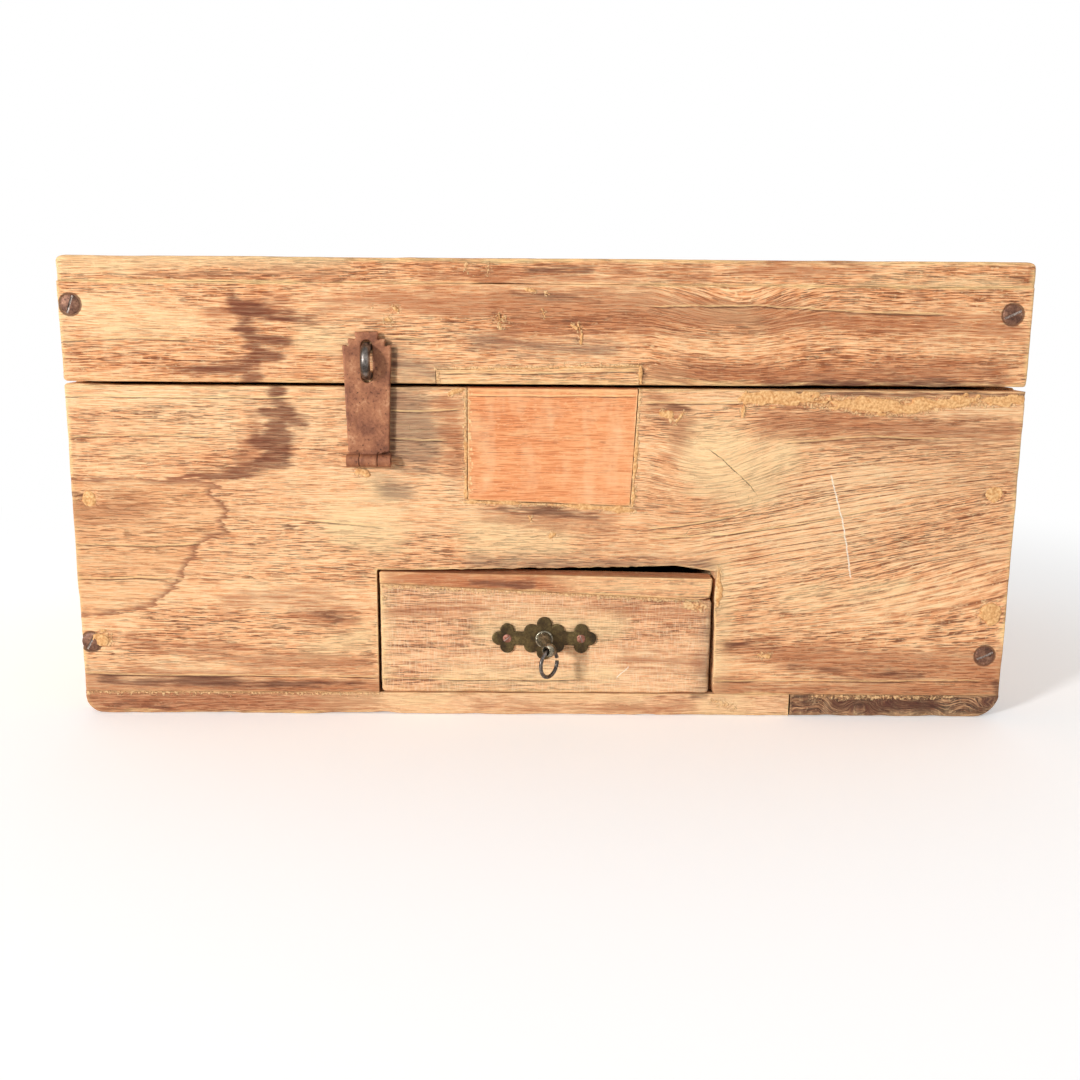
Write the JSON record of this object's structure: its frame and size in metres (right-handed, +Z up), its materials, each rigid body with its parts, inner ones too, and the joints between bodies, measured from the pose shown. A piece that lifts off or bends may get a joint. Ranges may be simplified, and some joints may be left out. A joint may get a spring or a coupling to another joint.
{
  "type": "storage chest",
  "caption": "Low storage chest of reclaimed boards with a deep hinged lid, an iron hasp and staple, and a small drawer with a ring pull in its front.",
  "frame": {"origin": "centre of the underside of the bottom boards, on the floor", "axes": "+X to the right seen from the front, front faces -Y, +Z up"},
  "size_m": [0.56, 0.3827, 0.2732],
  "materials": {
    "reclaimed_teak": "sanded, unoiled, weathered in the grain",
    "patch_wood": "planed, newer than the boards",
    "inner_wood": "rough sawn, dusty",
    "red_lipping_wood": "reddish strip, worn",
    "wood_putty": "filler, sanded flush",
    "rusted_iron": "brown rust, rubbed on the edges",
    "worn_steel": "dark, polished by use",
    "zinc_steel": "dull plated screws",
    "aged_brass": "dark olive patina",
    "copper_red_brass": "coppery, dull"
  },
  "bodies": {
    "base": {"base_back_board": "reclaimed_teak", "base_back_screws": "zinc_steel", "base_front_board": "reclaimed_teak", "base_front_screws": "zinc_steel", "base_left_side": "reclaimed_teak", "base_right_side": "reclaimed_teak", "bottom_board_end": "reclaimed_teak", "bottom_board_main": "reclaimed_teak", "bottom_nails": "rusted_iron", "cover_nails": "rusted_iron", "drawer_cover_board": "inner_wood", "drawer_guide_left": "inner_wood", "drawer_guide_right": "inner_wood", "filled_front_screws": "zinc_steel", "front_patch": "patch_wood", "hasp_leaf": "rusted_iron", "hasp_leaf_screws": "rusted_iron", "hasp_pin": "rusted_iron", "hinge_base_screws": "rusted_iron", "hinge_left_base_leaf": "rusted_iron", "hinge_left_pin": "rusted_iron", "hinge_right_base_leaf": "rusted_iron", "hinge_right_pin": "rusted_iron", "putty_plugs": "wood_putty"},
    "lid": {"lid_front_rail": "reclaimed_teak", "lid_back_rail": "reclaimed_teak", "lid_left_rail": "reclaimed_teak", "lid_right_rail": "reclaimed_teak", "lid_top_front_plank": "reclaimed_teak", "lid_top_back_plank": "reclaimed_teak", "lid_edge_patch": "patch_wood", "lid_front_screws": "zinc_steel", "lid_back_screws": "zinc_steel", "lid_top_nails": "rusted_iron", "hasp_staple": "worn_steel", "hinge_left_lid_leaf": "rusted_iron", "hinge_right_lid_leaf": "rusted_iron", "hinge_lid_screws": "rusted_iron"},
    "hasp": {"hasp_strap": "rusted_iron"},
    "drawer": {"drawer_front": "reclaimed_teak", "drawer_lipping": "red_lipping_wood", "drawer_left_side": "inner_wood", "drawer_right_side": "inner_wood", "drawer_back": "inner_wood", "drawer_bottom": "inner_wood", "drawer_nails": "rusted_iron", "pull_plate": "aged_brass", "pull_post": "aged_brass", "pull_rove": "aged_brass", "pull_screws": "copper_red_brass"},
    "ring": {"pull_ring": "worn_steel"}
  },
  "joints": [
    {"name": "lid_hinge", "type": "hinge", "parent": "base", "child": "lid", "pos_m": [0, 0.1788, 0.2006], "axis": [-1, 0, 0], "range_deg": [0, 105]},
    {"name": "hasp_hinge", "type": "hinge", "parent": "base", "child": "hasp", "pos_m": [-0.1033, -0.179, 0.1571], "axis": [1, 0, 0], "range_deg": [0, 150]},
    {"name": "drawer_slide", "type": "slide", "parent": "base", "child": "drawer", "axis": [0, -1, 0], "range_m": [0, 0.22]},
    {"name": "ring_swing", "type": "hinge", "parent": "drawer", "child": "ring", "pos_m": [0.0028, -0.193, 0.0468], "axis": [0.6157, 0.788, 0], "range_deg": [-80, 20]}
  ]
}
